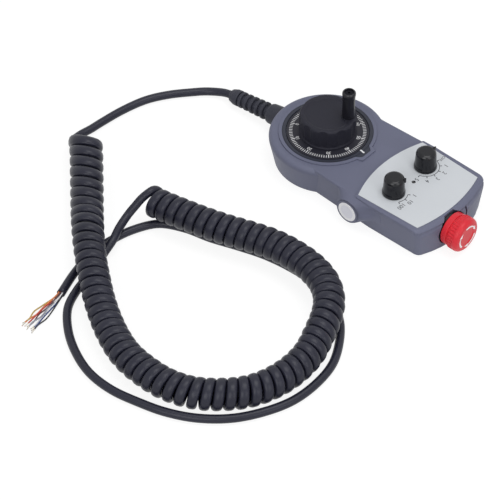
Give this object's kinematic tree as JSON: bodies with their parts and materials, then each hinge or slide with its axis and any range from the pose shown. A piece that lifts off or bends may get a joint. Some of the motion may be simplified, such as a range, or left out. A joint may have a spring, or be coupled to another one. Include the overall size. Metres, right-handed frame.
{
  "type": "handwheel_pulse_generator",
  "caption": "Grey hand-held pulse generator with a graduated handwheel, two selector knobs, a red emergency stop button and a black curly cord with bare ends",
  "frame": {"origin": "on the handwheel's axis, in the plane of the back that the unit lies on", "axes": "+Z out of the dial face along the handwheel's axis, +Y along the case towards the emergency stop, +X to the side with the boss"},
  "size_m": [0.316, 0.2932, 0.0664],
  "materials": {
    "case_grey": "fine satin moulding texture",
    "black_rubber": "matt",
    "steel": "zinc plated",
    "label_film": "satin printed film",
    "black_plastic": "satin",
    "dial_black": "black anodised look, white print",
    "gloss_black": "polished",
    "zinc_casting": "as cast",
    "board_green": "solder mask",
    "magnet_nickel": "nickel plated",
    "switch_blue": "moulded",
    "white_plastic": "moulded",
    "lamp_dark": "unlit lamp",
    "stop_red": "satin gloss",
    "contact_brass": "plain",
    "cord_black": "satin polyurethane jacket",
    "core_insulation": "eight colours of core insulation"
  },
  "bodies": {
    "case": {"top_case": "case_grey", "back_cover": "case_grey", "case_gasket": "black_rubber", "case_screws": "steel", "panel_label": "label_film", "side_label": "label_film", "dial_bezel": "black_plastic", "encoder_housing": "zinc_casting", "encoder_screws": "steel", "encoder_bearings": "steel", "encoder_board": "board_green", "optical_sensor": "black_plastic", "detent_magnets": "magnet_nickel", "axis_switch_body": "switch_blue", "axis_switch_nut": "steel", "multiplier_switch_body": "switch_blue", "multiplier_switch_nut": "steel", "main_board": "board_green", "board_screws": "steel", "board_header": "white_plastic", "indicator_led": "lamp_dark", "led_spacer": "white_plastic", "estop_body": "black_plastic", "estop_gasket": "black_rubber", "estop_nut": "black_plastic", "estop_contact_block": "black_plastic", "estop_terminals": "contact_brass", "bend_relief": "cord_black", "cable_core": "cord_black", "cable_clamp": "zinc_casting", "clamp_screws": "steel", "wire_harness": "cord_black", "cord_lead": "cord_black", "cord_coil": "cord_black", "cord_tail": "cord_black", "cord_wires": "core_insulation"},
    "wheel": {"handwheel_knob": "black_plastic", "dial_disc": "dial_black", "wheel_set_screws": "steel", "encoder_shaft": "steel", "code_disc": "steel", "detent_wheel": "steel", "handle_axle": "steel"},
    "grip": {"handle_grip": "gloss_black"},
    "axis_selector": {"axis_knob": "gloss_black", "axis_switch_shaft": "steel", "axis_knob_screw": "steel"},
    "multiplier_selector": {"multiplier_knob": "gloss_black", "multiplier_switch_shaft": "steel", "multiplier_knob_screw": "steel"},
    "stop_plunger": {"estop_plunger": "white_plastic", "estop_spring": "steel"},
    "stop_head": {"estop_head": "stop_red"}
  },
  "joints": [
    {"name": "wheel_turn", "type": "hinge", "parent": "case", "child": "wheel", "pos_m": [0, 0, 0.03], "axis": [0, 0, 1], "continuous": true},
    {"name": "grip_spin", "type": "hinge", "parent": "wheel", "child": "grip", "pos_m": [-0.00752, 0.01252, 0.05], "axis": [0, 0, 1], "continuous": true},
    {"name": "axis_select", "type": "hinge", "parent": "case", "child": "axis_selector", "pos_m": [-0.0178, 0.0766, 0.03], "axis": [0, 0, 1], "range_deg": [-150, 0]},
    {"name": "multiplier_select", "type": "hinge", "parent": "case", "child": "multiplier_selector", "pos_m": [0.0178, 0.0766, 0.03], "axis": [0, 0, 1], "range_deg": [-60, 0]},
    {"name": "stop_push", "type": "slide", "parent": "case", "child": "stop_plunger", "axis": [0, 1, 0], "range_m": [-0.003, 0], "stiffness_N_per_m": 1500, "springref_m": 0.002, "deforming": ["estop_spring"]},
    {"name": "stop_twist", "type": "hinge", "parent": "stop_plunger", "child": "stop_head", "pos_m": [0.0075, 0.13, 0.014], "axis": [0, -1, 0], "range_deg": [0, 35], "stiffness_Nm_per_rad": 0.05, "springref_deg": -5.73}
  ]
}
